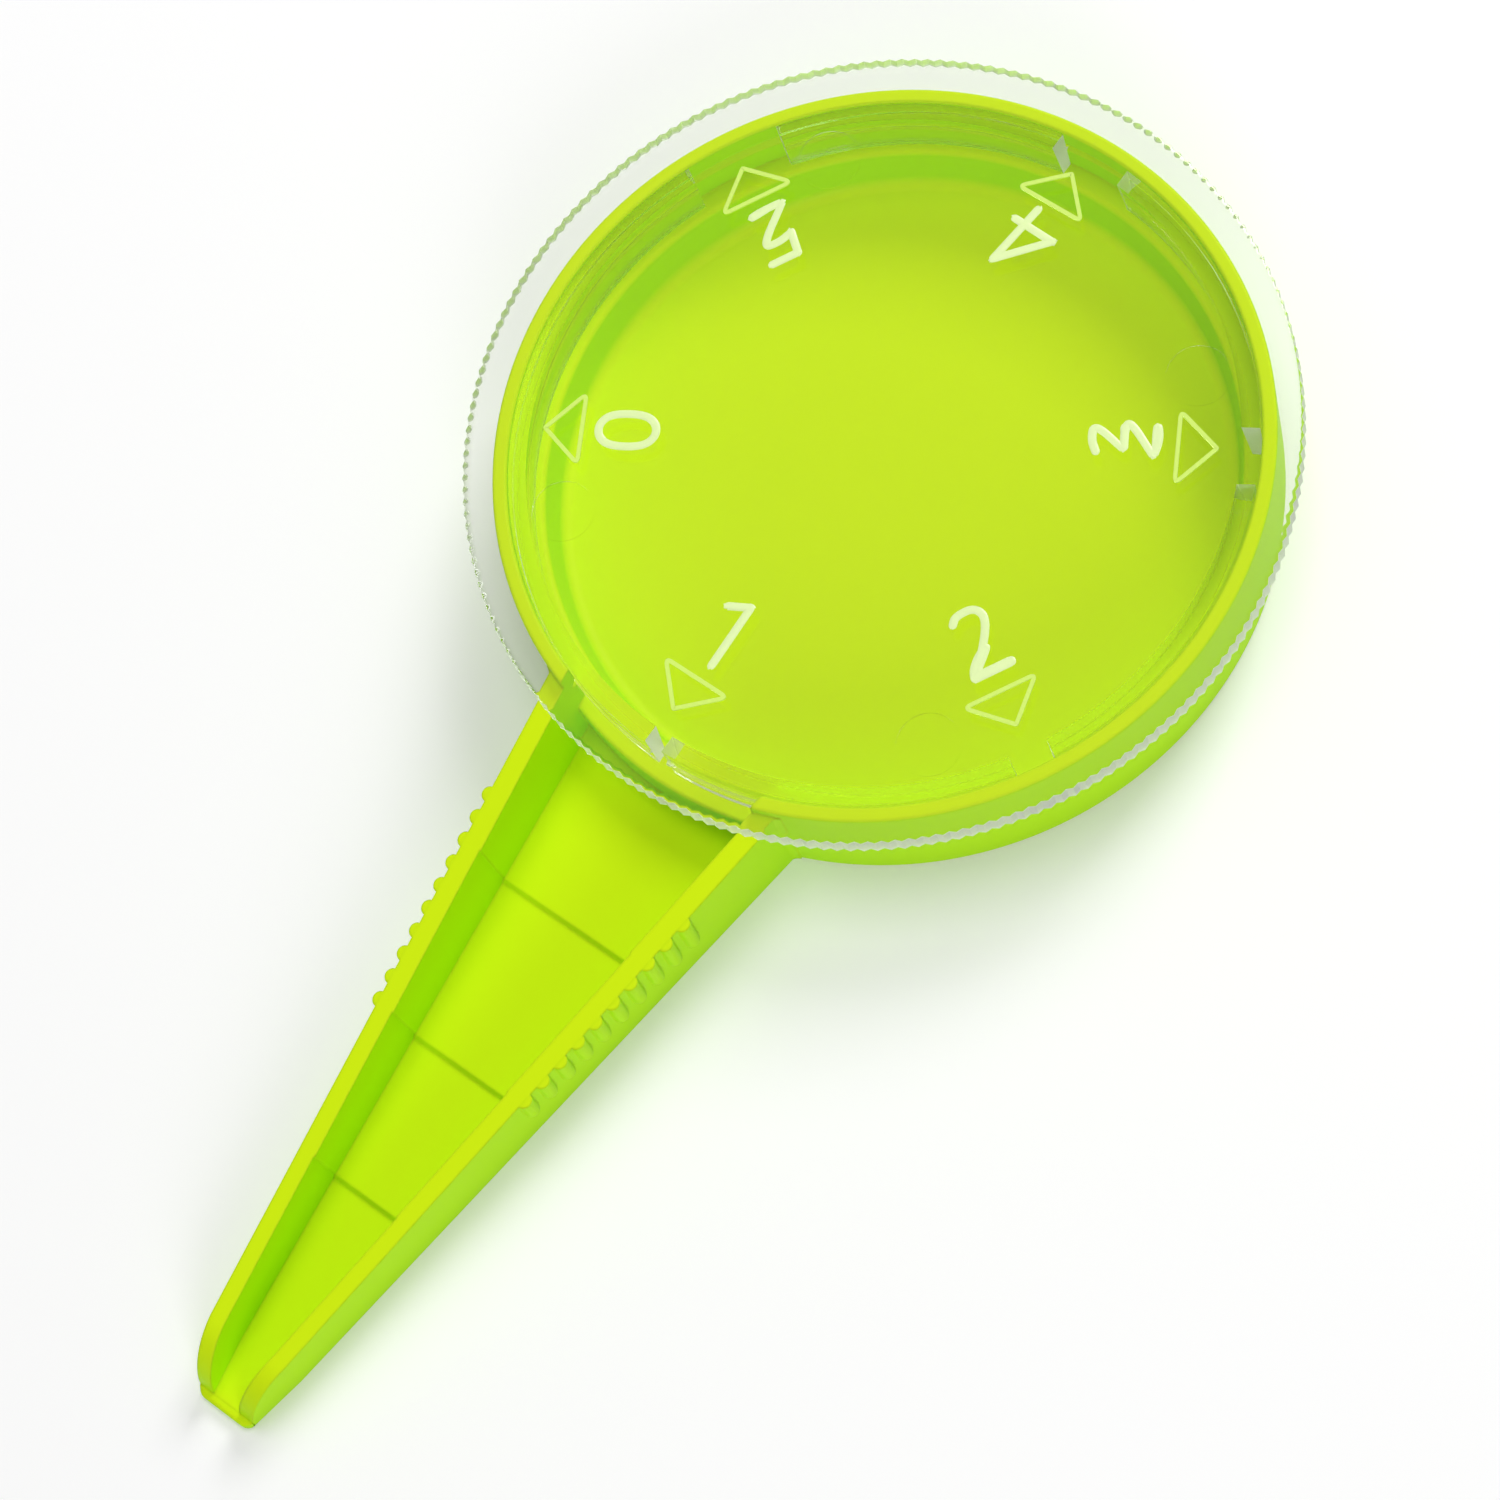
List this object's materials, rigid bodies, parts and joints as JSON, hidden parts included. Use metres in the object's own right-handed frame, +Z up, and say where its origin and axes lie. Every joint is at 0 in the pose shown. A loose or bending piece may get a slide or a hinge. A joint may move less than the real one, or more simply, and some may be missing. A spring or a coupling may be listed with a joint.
{
  "type": "dial seed sower",
  "caption": "Hand seed sower: round tray with a tapering open chute as its handle, under a clear dial lid whose windows set the seed size let out to the chute.",
  "frame": {"origin": "where the dial's axis meets the plane of the flat base", "axes": "+Z up along the dial's axis, -Y along the chute to its tip, so the number 1 of the dial stands at -Y"},
  "size_m": [0.086, 0.1592, 0.0166],
  "materials": {
    "tray": "smooth semi-gloss moulded polypropylene, lime green",
    "dial": "polished clear moulded polystyrene"
  },
  "bodies": {
    "sower": {"seed_tray": "tray"},
    "dial": {"dial_lid": "dial"}
  },
  "joints": [
    {"name": "dial_turn", "type": "hinge", "parent": "sower", "child": "dial", "pos_m": [0, 0, 0.0139], "axis": [0, 0, 1], "continuous": true}
  ]
}
